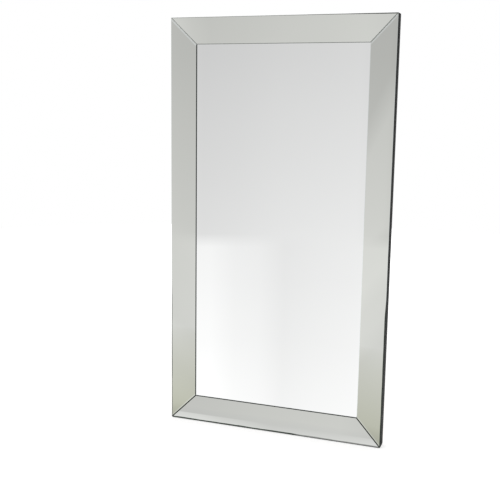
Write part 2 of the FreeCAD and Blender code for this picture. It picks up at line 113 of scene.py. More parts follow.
class GlassSettings(bpy.types.PropertyGroup):
    """Sizes and colours of the mirrored glass."""

    center_silver: a_colour("Center silver", "Reflected colour of the center mirror", (0.955, 0.96, 0.957))
    strip_silver: a_colour("Strip silver", "Reflected colour of the sloped strips", (0.70, 0.71, 0.677))
    # The upright strips' silver darkens towards the floor with painted shade.
    painted_shade_silver: a_colour("Painted shade silver", "Reflected colour of the upright strips' foot", (0.44, 0.45, 0.372))
    # The bottom strip's silver darkens at its foot with painted shade.
    painted_foot_shade_silver: a_colour("Foot silver", "Reflected colour of the bottom strip's outer edge",
                          (0.65, 0.66, 0.64))
    # This colour is also the painted pale highlight along the upright strips' mitres.
    arris_tint: a_colour("Arris", "Reflected colour of polished arrises and pale rims", (0.88, 0.91, 0.90))
    # The arrises in the upper mitres are pale as a painted highlight.
    frosted: a_colour("Frosted arris", "Colour of the arrises in the upper mitres", (0.68, 0.70, 0.68))
    # The rim colour is painted shade, a black line round the strips near the floor and at the top right.
    spoiled: a_colour("Spoiled rim", "Colour of the silver's blackened rim", (0.015, 0.02, 0.016))
    rim: a_length("Painted rim shade width", "Reach of the black rim round the strips", 0.0045)
    # The dark arrises are painted shade, and they turn paler towards the top on the level strips as a painted
    # highlight.
    painted_arris_shade: a_colour("Ground glass", "Colour of the ground arrises", (0.020, 0.028, 0.024))
    painted_top_highlight: a_colour("Pale ground glass", "Colour of ground arrises at the top", (0.25, 0.27, 0.255))
    edge_tint: a_colour("Ground edge", "Colour of the ground glass edges", (0.012, 0.018, 0.015))
    back_paint: a_colour("Back paint", "Colour of the paint over the silver", (0.20, 0.21, 0.22))
    center_arris: a_length("Center arris", "Width of the arris round the center mirror", 0.001)
    smear: a_share("Smears", "How much wiping marks dull the glass", 0.25)


class CaseSettings(bpy.types.PropertyGroup):
    """Sizes and colours of the boards and battens."""

    paint: a_colour("Paint", "Colour of the matt paint on the side boards", (0.008, 0.009, 0.0085))
    primer: a_colour("Primer", "Colour that shows where the paint is rubbed", (0.055, 0.052, 0.05))
    board_rounding: a_length("Board rounding", "Rounding of the side boards' edges", 0.0006)
    batten_rounding: a_length("Batten rounding", "Rounding of the battens' long edges", 0.0012)
    fibreboard: a_colour("Fibreboard", "Colour of the backing board", (0.27, 0.165, 0.09))
    fibre_fleck: a_colour("Fibre flecks", "Colour of the fibres in the backing board", (0.43, 0.29, 0.17))
    pine_light: a_colour("Pine, early wood", "Pale colour of the pine", (0.66, 0.46, 0.27))
    pine_dark: a_colour("Pine, late wood", "Dark colour of the pine's rings", (0.43, 0.25, 0.12))
    ply_light: a_colour("Plywood, pale", "Pale colour of the plywood", (0.60, 0.46, 0.30))
    ply_dark: a_colour("Plywood, dark", "Dark colour of the plywood", (0.42, 0.29, 0.17))


class HardwareSettings(bpy.types.PropertyGroup):
    """Sizes and colours of the hardware, rubber and tape."""

    zinc: a_colour("Zinc", "Colour of the zinc plating", (0.60, 0.62, 0.645))
    zinc_dull: a_colour("Dull zinc", "Colour of the zinc where it has dulled", (0.40, 0.41, 0.42))
    rubber: a_colour("Rubber", "Colour of the bumpers and pads", (0.020, 0.020, 0.021))
    rubber_bloom: a_colour("Bloom", "Colour of the pale bloom on the rubber", (0.075, 0.075, 0.078))
    tape: a_colour("Tape", "Colour of the mirror tape", (0.62, 0.62, 0.60))
    shank: a_length("Shank", "Radius of a screw's shank", 0.002)
    pan_height: a_length("Pan head", "Height of a pan head", 0.0026)
    recess: a_length("Recess", "Reach of a cross recess from the middle of the head", 0.0023)
    recess_slot: a_length("Recess slot", "Width of each slot of a cross recess", 0.0009)
    recess_depth: a_length("Recess depth", "Depth of a cross recess", 0.0016)
    rubber_rounding: a_length("Rubber rounding", "Rounding of the rubber's edges", 0.001)
    bumper_taper: a_share("Bumper taper", "A bumper's tip as a share of its foot", 0.83)
    bumper_hollow: a_length("Bumper hollow", "Radius of the hollow round a bumper's screw", 0.0043)
    bumper_web: a_length("Bumper web", "Rubber under the head of a bumper's screw", 0.004)


class StudioSettings(bpy.types.PropertyGroup):
    """Sizes and colours of the floor, the backdrop and the light."""

    reach: a_length("Reach", "Radius of the floor and the backdrop", 7.5)
    wall_height: a_length("Backdrop height", "Height of the backdrop", 7.0)
    lamp_colour: a_colour("Lamps", "Colour of the lamps", (1.0, 0.99, 0.975))
    ambient: a_share("Ambient", "Strength of the light from all round", 0.62)


class FloorMirrorSettings(bpy.types.PropertyGroup):
    """All settings of the floor mirror."""

    glass: PointerProperty(type=GlassSettings, name="Glass", description="Mirrored glass")
    case: PointerProperty(type=CaseSettings, name="Case", description="Boards and battens")
    hardware: PointerProperty(type=HardwareSettings, name="Hardware", description="Hardware, rubber and tape")
    studio: PointerProperty(type=StudioSettings, name="Studio", description="Floor, backdrop and light")


def settings():
    """The settings that the operators read."""
    return bpy.context.scene.floor_mirror


# ---- Shader nodes ----

NODE_STEP = 190
COLOUR = "NodeSocketColor"
NUMBER = "NodeSocketFloat"
VECTOR = "NodeSocketVector"
WHITE = (1.0, 1.0, 1.0)


def feed(tree, socket, given):
    """Links a socket to another one, or sets its constant."""
    if isinstance(given, bpy.types.NodeSocket):
        tree.links.new(given, socket)
    elif isinstance(given, (int, float)) or len(given) == len(socket.default_value):
        socket.default_value = given
    else:
        socket.default_value = (*given, 1.0)


def add(tree, kind, inputs=None, **options):
    """Adds a node, sets its options and feeds its inputs, which are named or numbered."""
    made = tree.nodes.new(kind)
    made.location = (NODE_STEP * (len(tree.nodes) - 1), 0)
    for option, value in options.items():
        setattr(made, option, value)
    for socket, given in (inputs or {}).items():
        feed(tree, made.inputs[socket], given)
    return made


def mix(tree, share, first, second, blend="MIX"):
    """The first colour with a share of the second one in it."""
    made = add(tree, "ShaderNodeMix", data_type="RGBA", blend_type=blend, clamp_result=True)
    inputs = {socket.identifier: socket for socket in made.inputs}
    feed(tree, inputs["Factor_Float"], share)
    feed(tree, inputs["A_Color"], first)
    feed(tree, inputs["B_Color"], second)
    return next(socket for socket in made.outputs if socket.identifier == "Result_Color")


def sums(tree, operation, first, *others, clamp=False):
    """The outcome of a sum of two or more numbers, kept between 0 and 1 if it is clamped."""
    total = first
    for other in others:
        step = add(tree, "ShaderNodeMath", {0: total, 1: other}, operation=operation)
        total = step.outputs[0]
    step.use_clamp = clamp
    return total


def span(tree, value, low, high, to_low=0.0, to_high=1.0):
    """A value between low and high, turned into one between to_low and to_high."""
    inputs = {"Value": value, "From Min": low, "From Max": high, "To Min": to_low, "To Max": to_high}
    return add(tree, "ShaderNodeMapRange", inputs).outputs["Result"]


def axes(tree, vector):
    """A vector's X, Y and Z."""
    return add(tree, "ShaderNodeSeparateXYZ", {0: vector}).outputs


def stretched(tree, vector, scales):
    """A vector with each axis scaled."""
    return add(tree, "ShaderNodeVectorMath", {0: vector, 1: scales}, operation="MULTIPLY").outputs[0]


def noise(tree, vector, scale, detail=2.0, roughness=0.5):
    """A soft noise from 0 to 1."""
    inputs = {"Vector": vector, "Scale": scale, "Detail": detail, "Roughness": roughness}
    return add(tree, "ShaderNodeTexNoise", inputs).outputs["Fac"]


def new_group(name, inputs, outputs):
    """A node group: its tree and both its ends. It takes a vector, and numbers and colours with defaults."""
    group = bpy.data.node_groups.new(name, "ShaderNodeTree")
    group.interface.new_socket("Vector", in_out="INPUT", socket_type=VECTOR)
    for label, default in inputs.items():
        kind = NUMBER if isinstance(default, float) else COLOUR
        group.interface.new_socket(label, in_out="INPUT", socket_type=kind).default_value = default
    for label in outputs:
        kind = COLOUR if label == "Color" else NUMBER
        group.interface.new_socket(label, in_out="OUTPUT", socket_type=kind)
    entry = add(group, "NodeGroupInput")
    leave = add(group, "NodeGroupOutput")
    return group, entry.outputs, leave.inputs


KNOT_COLOUR = (0.10, 0.045, 0.02)
DUST_COLOUR = (0.52, 0.50, 0.47)


def grain_group():
    """Wood with its grain along X: growth rings, fibres and a few knots."""
    group, given, out = new_group(
        "Wood grain", {"Light": (0.7, 0.5, 0.3, 1), "Dark": (0.4, 0.25, 0.1, 1), "Ring Scale": 34.0,
                       "Ring Share": 0.6, "Knots": 1.0}, ("Color", "Height", "Roughness"))
    long_way = stretched(group, given["Vector"], (0.11, 1.0, 1.0))
    rings = add(group, "ShaderNodeTexWave",
                {"Vector": long_way, "Scale": given["Ring Scale"], "Distortion": 7.0, "Detail": 3.0,
                 "Detail Scale": 0.55, "Detail Roughness": 0.45},
                wave_type="BANDS", bands_direction="Z", wave_profile="SAW").outputs["Fac"]
    fibres = noise(group, stretched(group, given["Vector"], (9.0, 320.0, 320.0)), 1.0, 4.0, 0.6)
    broad = noise(group, stretched(group, given["Vector"], (1.3, 16.0, 16.0)), 1.0, 2.0)
    spots = add(group, "ShaderNodeTexVoronoi",
                {"Vector": stretched(group, given["Vector"], (3.1, 11.0, 11.0)), "Scale": 1.0})
    few = span(group, sums(group, "ADD", spots.outputs["Color"], 0.0), 0.72, 0.74)
    spot = span(group, spots.outputs["Distance"], 0.06, 0.16, 1.0, 0.0)
    knot = sums(group, "MULTIPLY", spot, few, given["Knots"], clamp=True)
    late = sums(group, "MULTIPLY", sums(group, "POWER", rings, 2.2), given["Ring Share"])
    streak = span(group, fibres, 0.35, 0.7, 0.0, 0.28)
    tone = sums(group, "ADD", late, streak, span(group, broad, 0.3, 0.7, -0.1, 0.2), clamp=True)
    wood = mix(group, tone, given["Light"], given["Dark"])
    knotty = mix(group, 0.62, given["Dark"], KNOT_COLOUR)
    feed(group, out["Color"], mix(group, knot, wood, knotty))
    feed(group, out["Height"], sums(group, "SUBTRACT", sums(group, "MULTIPLY", fibres, 0.7), late))
    feed(group, out["Roughness"], span(group, fibres, 0.2, 0.8, 0.52, 0.74))
    return group


def wear_group():
    """A mask of the rubbed edges of a piece, broken up by noise."""
    group, given, out = new_group("Edge wear", {"Radius": 0.0012, "Scale": 60.0, "Amount": 0.5}, ("Mask",))
    softened = add(group, "ShaderNodeBevel", {"Radius": given["Radius"]}, samples=4).outputs["Normal"]
    plain = add(group, "ShaderNodeNewGeometry").outputs["Normal"]
    turned = add(group, "ShaderNodeVectorMath", {0: softened, 1: plain}, operation="DOT_PRODUCT")
    edge = span(group, turned.outputs["Value"], 0.99, 0.90)
    patchy = span(group, noise(group, given["Vector"], given["Scale"], 4.0, 0.6), 0.42, 0.62)
    feed(group, out["Mask"], sums(group, "MULTIPLY", edge, patchy, given["Amount"], clamp=True))
    return group


def fleck_group():
    """A pressed or cast stuff with flecks in it: two colours and a fine height."""
    group, given, out = new_group(
        "Flecks", {"Base": (0.3, 0.2, 0.1, 1), "Fleck": (0.5, 0.4, 0.2, 1), "Scale": 300.0, "Amount": 0.5},
        ("Color", "Height"))
    bits = add(group, "ShaderNodeTexVoronoi", {"Vector": given["Vector"], "Scale": given["Scale"]})
    fine = noise(group, given["Vector"], sums(group, "MULTIPLY", given["Scale"], 1.7), 4.0, 0.65)
    cloud = noise(group, given["Vector"], sums(group, "MULTIPLY", given["Scale"], 0.03), 3.0)
    share = sums(group, "MULTIPLY", span(group, fine, 0.38, 0.72), given["Amount"])
    share = sums(group, "ADD", share, span(group, cloud, 0.3, 0.7, -0.08, 0.16), clamp=True)
    feed(group, out["Color"], mix(group, share, given["Base"], given["Fleck"]))
    height = sums(group, "MULTIPLY", bits.outputs["Distance"], 0.35)
    feed(group, out["Height"], sums(group, "ADD", fine, height))
    return group


def plating_group():
    """Zinc plating: clouded patches, fine scratches and its roughness."""
    group, given, out = new_group(
        "Zinc plating", {"Bright": (0.6, 0.62, 0.65, 1), "Dull": (0.4, 0.4, 0.4, 1)},
        ("Color", "Roughness", "Height"))
    patches = noise(group, given["Vector"], 160.0, 3.0, 0.55)
    scratches = noise(group, stretched(group, given["Vector"], (1500.0, 1500.0, 90.0)), 1.0, 2.0)
    dulled = span(group, patches, 0.35, 0.7, 0.0, 0.8)
    feed(group, out["Color"], mix(group, dulled, given["Bright"], given["Dull"]))
    feed(group, out["Roughness"], sums(group, "ADD", span(group, patches, 0.3, 0.7, 0.26, 0.44),
                                       span(group, scratches, 0.4, 0.7, 0.0, 0.08)))
    feed(group, out["Height"], scratches)
    return group


def dust_group():
    """A colour with dust lying on the faces that look up."""
    group, given, out = new_group("Dust", {"Base": (0.1, 0.1, 0.1, 1), "Amount": 0.35}, ("Color", "Mask"))
    normal = add(group, "ShaderNodeNewGeometry").outputs["Normal"]
    lying = span(group, axes(group, normal)["Z"], 0.55, 0.95)
    patchy = span(group, noise(group, given["Vector"], 45.0, 5.0, 0.65), 0.35, 0.7)
    mask = sums(group, "MULTIPLY", lying, patchy, given["Amount"], clamp=True)
    feed(group, out["Mask"], mask)
    feed(group, out["Color"], mix(group, mask, given["Base"], DUST_COLOUR))
    return group


def smear_group():
    """The faint wiping marks on glass, as a roughness."""
    group, given, out = new_group("Wiping marks", {"Amount": 0.25, "Clean": 0.006}, ("Roughness",))
    sweep = noise(group, stretched(group, given["Vector"], (2.2, 2.2, 5.0)), 1.0, 5.0, 0.6)
    dulled = sums(group, "MULTIPLY", span(group, sweep, 0.52, 0.75, 0.0, 0.05), given["Amount"])
    feed(group, out["Roughness"], sums(group, "ADD", dulled, given["Clean"]))
    return group


# Where painted shade blackens the strips' rim: between these heights and places it grows from nothing to its
# full width.
PAINTED_RIM_FOOT = (0.78, 0.66)
PAINTED_RIM_TOP = (1.85, 1.92)
PAINTED_RIM_RIGHT = (-0.1, 0.52)
PAINTED_RIM_BLUR = 0.0004
# The black rim's share of its width down the right side.
PAINTED_RIM_SIDE = 0.3
# The bottom strip's black rim is wider, and turns less black towards the right.
LOW_GAIN = 1.5
FADED_RIGHT = (0.12, 0.15)
FADED_RIM = 0.6
# Reach of the painted black line and of the upright strips' painted pale highlight beside the mitres, and how
# pale that is.
LOW_MITRE = 0.0045
MITRE_RIM = 0.0125
MITRE_PALE = 0.75
LOW_PALE = 0.2


def painted_rim_group():
    """Masks of the painted shade that blackens the strips' rim near the floor and at the top right, and of
    the painted pale highlight along the mitres.
    """
    group, given, out = new_group("Spoiled rim", {"Width": 0.0045}, ("Mask", "Mitre"))
    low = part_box("mirror_strip_bottom")[0]
    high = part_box("mirror_strip_top")[1]
    parts = axes(group, given["Vector"])
    beside = sums(group, "SUBTRACT", CAD_BOX[1][0], sums(group, "ABSOLUTE", parts["X"], 0.0))
    level = sums(group, "MINIMUM", sums(group, "SUBTRACT", high.z, parts["Z"]),
                 sums(group, "SUBTRACT", parts["Z"], low.z))
    distance = sums(group, "MINIMUM", beside, level)
    across = sums(group, "SUBTRACT", beside, level)
    on_level = span(group, across, 0.0, PAINTED_RIM_BLUR)
    near_floor = span(group, parts["Z"], *PAINTED_RIM_FOOT)
    low_level = sums(group, "MULTIPLY", near_floor, on_level)
    right = span(group, parts["X"], *PAINTED_RIM_RIGHT)
    top = sums(group, "MULTIPLY", right, span(group, parts["Z"], *PAINTED_RIM_TOP), on_level)
    side = span(group, parts["X"], *PAINTED_RIM_RIGHT, 0.0, PAINTED_RIM_SIDE)
    spoiled = sums(group, "MAXIMUM", top, side, near_floor)
    gain = span(group, low_level, 0.0, 1.0, 1.0, LOW_GAIN)
    uneven = span(group, noise(group, given["Vector"], 14.0, 3.0), 0.35, 0.65, 0.9, 1.1)
    reach = sums(group, "MULTIPLY", spoiled, gain, given["Width"], uneven)
    rim = span(group, sums(group, "SUBTRACT", distance, reach), 0.0, -PAINTED_RIM_BLUR)
    faded = sums(group, "MULTIPLY", low_level, span(group, parts["X"], *FADED_RIGHT))
    rim = sums(group, "MULTIPLY", rim, span(group, faded, 0.0, 1.0, 1.0, FADED_RIM))
    low_mitre = sums(group, "MULTIPLY", low_level, span(group, across, LOW_MITRE, LOW_MITRE - PAINTED_RIM_BLUR))
    feed(group, out["Mask"], sums(group, "MAXIMUM", rim, low_mitre))
    near = span(group, sums(group, "ABSOLUTE", across, 0.0), MITRE_RIM, MITRE_RIM - PAINTED_RIM_BLUR)
    pale = sums(group, "MAXIMUM", span(group, parts["Z"], *PAINTED_RIM_TOP, 0.0, MITRE_PALE),
                sums(group, "MULTIPLY", near_floor, LOW_PALE))
    feed(group, out["Mitre"], sums(group, "MULTIPLY", near, pale))
    return group


GROUP_MAKERS = {"grain": grain_group, "wear": wear_group, "flecks": fleck_group, "plating": plating_group,
                "dust": dust_group, "smears": smear_group, "rim": painted_rim_group}
groups = {}


def effect(tree, name, place, inputs):
    """Places a shared effect in a material and returns its outputs."""
    if name not in groups:
        groups[name] = GROUP_MAKERS[name]()
    made = add(tree, "ShaderNodeGroup", node_tree=groups[name])
    for socket, given in {"Vector": place, **inputs}.items():
        feed(tree, made.inputs[socket], given)
    return made.outputs


def new_material(name, constants):
    """A new material: itself, its tree, its shader and the object's own coordinates."""
    material = bpy.data.materials.new(name)
    material.use_nodes = True
    tree = material.node_tree
    shader = tree.nodes["Principled BSDF"]
    for socket, constant in constants.items():
        feed(tree, shader.inputs[socket], constant)
    place = add(tree, "ShaderNodeTexCoord").outputs["Object"]
    return material, tree, shader, place


def cover(tree, shader, colour, roughness=None):
    """Feeds the shader its colour, and its roughness where that varies."""
    feed(tree, shader.inputs["Base Color"], colour)
    if roughness is not None:
        feed(tree, shader.inputs["Roughness"], roughness)


def bump(tree, shader, height, strength, distance):
    """Feeds a height to the shader as a bump."""
    inputs = {"Height": height, "Strength": strength, "Distance": distance}
    feed(tree, shader.inputs["Normal"], add(tree, "ShaderNodeBump", inputs).outputs["Normal"])


# ---- Materials ----

GLASS_INDEX = 1.52
CLOUD_SHADE = 0.985
# The heights from which and to which painted shade darkens the upright strips and the bottom one near the
# floor, and how it grows.
PAINTED_SHADE_HEIGHTS = (0.50, 0.06)
PAINTED_SHADE_FOOT_HEIGHTS = (0.07, 0.0)
PAINTED_SHADE_POWER = 0.7
# The heights over which the dark arrises of painted shade turn paler towards the top, as a painted highlight.
PAINTED_HIGHLIGHT_HEIGHTS = (0.6, 1.9)
DULL_ARRIS = (0.6, 0.68, 0.65)
PAINT_CLOUD = (0.013, 0.014, 0.0135)
RUBBED_ZINC = (0.80, 0.81, 0.83)


def spoil(tree, place, colour, mitred=False):
    """The colour, black with painted shade round the strips' rim, and with a painted pale highlight along the
    mitres if it is mitred.
    """
    glass = settings().glass
    rim = effect(tree, "rim", place, {"Width": glass.rim})
    if mitred:
        # A painted pale highlight along the mitres, then painted black shade round the rim.
        colour = mix(tree, rim["Mitre"], colour, glass.arris_tint)
    return mix(tree, rim["Mask"], colour, glass.spoiled)


def silvered_glass(name, silver, painted_shade=None, painted_shade_heights=PAINTED_SHADE_HEIGHTS, rimmed=True, mitred=False):
    """Silver behind clear glass: a mirror with faint wiping marks, with painted shade that may darken it near
    the floor and round its rim, and a painted highlight along the mitres.
    """
    material, tree, shader, place = new_material(
        name, {"Metallic": 1.0, "Coat Weight": 1.0, "Coat Roughness": 0.0, "Coat IOR": GLASS_INDEX})
    cloud = span(tree, noise(tree, place, 1.6, 2.0), 0.35, 0.65, 0.0, 0.5)
    tint = mix(tree, cloud, silver, [share * CLOUD_SHADE for share in silver])
    if painted_shade is not None:
        # Painted shade darkens the silver towards the floor.
        painted_shade_share = span(tree, axes(tree, place)["Z"], *painted_shade_heights)
        tint = mix(tree, sums(tree, "POWER", painted_shade_share, PAINTED_SHADE_POWER), tint, painted_shade)
    if rimmed:
        tint = spoil(tree, place, tint, mitred)
    marks = effect(tree, "smears", place, {"Amount": settings().glass.smear})
    cover(tree, shader, tint, marks["Roughness"])
    return material


def polished_arris():
    """The polished bevels of the glass, which catch the light, but black where the painted rim shade reaches
    them.
    """
    material, tree, shader, place = new_material("polished_arris", {"Metallic": 1.0, "Roughness": 0.12})
    wave = span(tree, noise(tree, place, 35.0, 3.0), 0.3, 0.7, 0.0, 0.3)
    cover(tree, shader, spoil(tree, place, mix(tree, wave, settings().glass.arris_tint, DULL_ARRIS)))
    return material


def way(upright):
    """The word for a piece's way, upright or level."""
    return "upright" if upright else "level"


def ground_arris(upright):
    """Bevels with a fine grit, dark as painted shade, and paler towards the top on the level strips as a
    painted highlight.
    """
    glass = settings().glass
    material, tree, shader, place = new_material(f"ground_arris_{way(upright)}", {"Specular IOR Level": 0.25})
    grit = noise(tree, place, 260.0, 3.0)
    specks = [2 * share for share in glass.painted_arris_shade]
    tint = mix(tree, span(tree, grit, 0.3, 0.7, 0.0, 0.5), glass.painted_arris_shade, specks)
    if not upright:
        # Painted highlight: the arris turns paler towards the top.
        pale = mix(tree, span(tree, axes(tree, place)["Z"], *PAINTED_HIGHLIGHT_HEIGHTS), tint, glass.painted_top_highlight)
        tint = spoil(tree, place, pale)
    cover(tree, shader, tint, span(tree, grit, 0.3, 0.7, 0.3, 0.45))
    return material


def flecked(name, constants, base, fleck, scale, amount, stretch=None, dust=None, rough=None, relief=None):
    """A stuff with flecks, which may have dust on it, an uneven roughness and a relief."""
    material, tree, shader, place = new_material(name, constants)
    spread = stretched(tree, place, stretch) if stretch else place
    flecks = effect(tree, "flecks", spread, {"Base": base, "Fleck": fleck, "Scale": scale, "Amount": amount})
    colour = flecks["Color"]
    if dust:
        colour = effect(tree, "dust", place, {"Base": colour, "Amount": dust})["Color"]
    cover(tree, shader, colour, span(tree, flecks["Height"], 0.2, 1.0, *rough) if rough else None)
    if relief:
        bump(tree, shader, flecks["Height"], *relief)
    return material


def frosted_arris():
    """The bevels of the upright strips in the upper mitres, pale with flecks as a painted highlight."""
    return flecked("frosted_arris", {"Specular IOR Level": 0.25}, settings().glass.frosted,
                   fleck=(0.60, 0.62, 0.60), scale=900.0, amount=0.4, rough=(0.5, 0.7))


def ground_edge():
    """The flat ground edge of the glass, dark green and fine as frost."""
    return flecked("ground_edge", {"Specular IOR Level": 0.25}, settings().glass.edge_tint,
                   fleck=(0.026, 0.034, 0.030), scale=900.0, amount=0.5, rough=(0.22, 0.4))


def mirror_back():
    """The grey paint over the silver."""
    return flecked("mirror_back", {"Roughness": 0.45}, settings().glass.back_paint,
                   fleck=(0.30, 0.31, 0.32), scale=120.0, amount=0.35, relief=(0.2, 0.0002))


def fibreboard():
    """The brown backing board, pressed from fibres."""
    case = settings().case
    return flecked("fibreboard_brown", {"Specular IOR Level": 0.3}, case.fibreboard, case.fibre_fleck,
                   scale=420.0, amount=0.55, stretch=(1.0, 1.0, 0.45), dust=0.3, rough=(0.6, 0.85),
                   relief=(0.35, 0.0004))


def foam_tape():
    """The pale foam tape that holds the glass."""
    return flecked("foam_tape", {"Roughness": 0.85, "Specular IOR Level": 0.2}, settings().hardware.tape,
                   fleck=(0.48, 0.48, 0.46), scale=800.0, amount=0.6, relief=(0.4, 0.0003))


def black_rubber():
    """Moulded black rubber with a pale bloom."""
    hardware = settings().hardware
    return flecked("moulded_rubber", {"Specular IOR Level": 0.35}, hardware.rubber, hardware.rubber_bloom,
                   scale=500.0, amount=0.4, dust=0.4, rough=(0.62, 0.85), relief=(0.3, 0.0002))


def matt_paint():
    """Black matt paint, rolled on, a little rubbed at the edges and dusty on top."""
    case = settings().case
    material, tree, shader, place = new_material("matt_black_paint", {"Specular IOR Level": 0.1})
    peel = noise(tree, place, 700.0, 2.0)
    cloud = noise(tree, place, 9.0, 4.0, 0.6)
    worn = effect(tree, "wear", place, {"Radius": 0.0014, "Scale": 42.0, "Amount": 0.55})["Mask"]
    shade = mix(tree, span(tree, cloud, 0.35, 0.7, 0.0, 0.5), case.paint, PAINT_CLOUD)
    rubbed = mix(tree, worn, shade, case.primer)
    dusty = effect(tree, "dust", place, {"Base": rubbed, "Amount": 0.12})
    dull = sums(tree, "ADD", span(tree, cloud, 0.3, 0.7, 0.56, 0.68), sums(tree, "MULTIPLY", worn, 0.1),
                sums(tree, "MULTIPLY", dusty["Mask"], 0.5))
    cover(tree, shader, dusty["Color"], dull)
    bump(tree, shader, peel, 0.12, 0.0002)
    return material


def timber(name, light, dark, upright, ring_scale, knots):
    """Sawn timber, with its grain up or across."""
    material, tree, shader, place = new_material(f"{name}_{way(upright)}", {"Specular IOR Level": 0.35})
    turn = (0.0, math.radians(90), 0.0) if upright else (0.0, 0.0, 0.0)
    along = add(tree, "ShaderNodeMapping", {"Vector": place, "Rotation": turn}).outputs["Vector"]
    wood = effect(tree, "grain", along, {"Light": light, "Dark": dark, "Ring Scale": ring_scale,
                                         "Knots": knots})
    dusty = effect(tree, "dust", place, {"Base": wood["Color"], "Amount": 0.35})
    cover(tree, shader, dusty["Color"], wood["Roughness"])
    bump(tree, shader, wood["Height"], 0.3, 0.0003)
    return material


def pine(upright):
    """The battens', ledgers' and wedges' pine."""
    case = settings().case
    return timber("pine", case.pine_light, case.pine_dark, upright, ring_scale=30.0, knots=1.0)


def plywood(upright):
    """The strip carriers' plywood."""
    case = settings().case
    return timber("plywood", case.ply_light, case.ply_dark, upright, ring_scale=14.0, knots=0.0)


def zinc_plate():
    """Zinc-plated steel, for screws, braces and hangers."""
    hardware = settings().hardware
    material, tree, shader, place = new_material("zinc_plating", {"Metallic": 1.0})
    plating = effect(tree, "plating", place, {"Bright": hardware.zinc, "Dull": hardware.zinc_dull})
    worn = effect(tree, "wear", place, {"Radius": 0.0005, "Scale": 300.0, "Amount": 0.6})["Mask"]
    cover(tree, shader, mix(tree, worn, plating["Color"], RUBBED_ZINC), plating["Roughness"])
    bump(tree, shader, plating["Height"], 0.06, 0.0001)
    return material


finishes = {}


def finish(maker, *choices):
    """A material, made the first time that it is asked for."""
    key = (maker.__name__, *choices)
    if key not in finishes:
        finishes[key] = maker(*choices)
    return finishes[key]


# ---- Modelling ----


def deselect():
    """Leaves nothing selected."""
    bpy.ops.object.select_all(action="DESELECT")


def take(piece):
    """Selects one piece alone."""
    deselect()
    piece.select_set(True)
    bpy.context.view_layer.objects.active = piece


def start_edit(piece, select="FACE"):
    """Opens a piece in edit mode with nothing selected."""
    take(piece)
    bpy.ops.object.mode_set(mode="EDIT")
    bpy.ops.mesh.select_mode(type=select)
    bpy.ops.mesh.select_all(action="DESELECT")


def end_edit():
    """Leaves edit mode."""
    bpy.ops.object.mode_set(mode="OBJECT")


def choose(piece, elements, test):
    """Selects the faces or edges of the piece in edit mode that pass a test, and nothing else."""
    bpy.ops.mesh.select_all(action="DESELECT")
    shape = bmesh.from_edit_mesh(piece.data)
    shape.normal_update()
    for element in getattr(shape, elements):
        if test(element):
            element.select_set(True)
    shape.select_flush_mode()
    bmesh.update_edit_mesh(piece.data)


def place_in_mesh(piece):
    """Moves a piece's place, turn and size into its mesh."""
    take(piece)
    bpy.ops.object.transform_apply(location=True, rotation=True, scale=True)


def added(name):
    """The object that a primitive operator has just added, with its own name."""
    piece = bpy.context.active_object
    piece.name = name
    piece.data.name = name
    place_in_mesh(piece)
    return piece


def block(name, low, high):
    """A box between two corners, to be shaped further."""
    deselect()
    bpy.ops.mesh.primitive_cube_add(size=1, location=(low + high) / 2, scale=high - low)
    return added(name)


def copy_of(node, name):
    """A merged copy of a CAD piece's mesh, with its flat faces whole."""
    piece = bpy.data.objects.new(name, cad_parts[node].data.copy())
    piece.data.name = name
    piece.data.materials.clear()
    bpy.context.scene.collection.objects.link(piece)
    start_edit(piece)
    bpy.ops.mesh.select_all(action="SELECT")
    bpy.ops.mesh.customdata_custom_splitnormals_clear()
    bpy.ops.mesh.remove_doubles(threshold=MERGE_DISTANCE)
    bpy.ops.mesh.dissolve_limited(angle_limit=FLAT_ANGLE)
    end_edit()
    return piece


def loose_boxes(node):
    """The lowest and highest corners of each separate solid in a CAD piece."""
    piece = copy_of(node, node + "_parts")
    start_edit(piece)
    bpy.ops.mesh.select_all(action="SELECT")
    bpy.ops.mesh.separate(type="LOOSE")
    end_edit()
    parts = list(bpy.context.selected_objects)
    boxes = []
    for part in parts:
        corners = [vertex.co for vertex in part.data.vertices]
        low = Vector(min(corner[axis] for corner in corners) for axis in range(3))
        high = Vector(max(corner[axis] for corner in corners) for axis in range(3))
        boxes.append((low, high))
        bpy.data.objects.remove(part)
    return sorted(boxes, key=lambda box: (round(box[0].x, 3), round(box[0].z, 3)))


def rear_middle(low, high):
    """The middle of a box's rear face."""
    return Vector(((low.x + high.x) / 2, high.y, (low.z + high.z) / 2))


def round_edges(piece, radius, segments, test):
    """Rounds the edges that pass a test."""
    start_edit(piece, "EDGE")
    choose(piece, "edges", test)
    bpy.ops.mesh.bevel(offset=radius, segments=segments, affect="EDGES")
    end_edit()


def sharp(edge, angle=math.radians(30)):
    """Whether an edge turns by more than an angle."""
    return len(edge.link_faces) == 2 and edge.calc_face_angle() > angle


def smooth(piece):
    """Shades a piece smooth, but for its sharp edges."""
    take(piece)
    bpy.ops.object.shade_smooth_by_angle(angle=SMOOTH_ANGLE)


def bevel_all(piece, width, segments):
    """Rounds all sharp edges of a piece with a modifier, and applies it."""
    take(piece)
    modifier = piece.modifiers.new("Rounding", "BEVEL")
    modifier.width = width
    modifier.segments = segments
    modifier.limit_method = "ANGLE"
    bpy.ops.object.modifier_apply(modifier=modifier.name)


def joined(pieces, name):
    """Several pieces as one."""
    deselect()
    for piece in pieces:
        piece.select_set(True)
    bpy.context.view_layer.objects.active = pieces[0]
    bpy.ops.object.join()
    whole = bpy.context.active_object
    whole.name = name
    whole.data.name = name
    return whole


def coat(piece, material):
    """Gives a piece one material all over."""
    piece.data.materials.clear()
    piece.data.materials.append(material)


def stand_for(piece, node, body=MAIN_BODY):
    """Lets a new piece stand for a CAD piece: it moves with its body, and the CAD piece is hidden."""
    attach(piece, body)
    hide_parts(node)


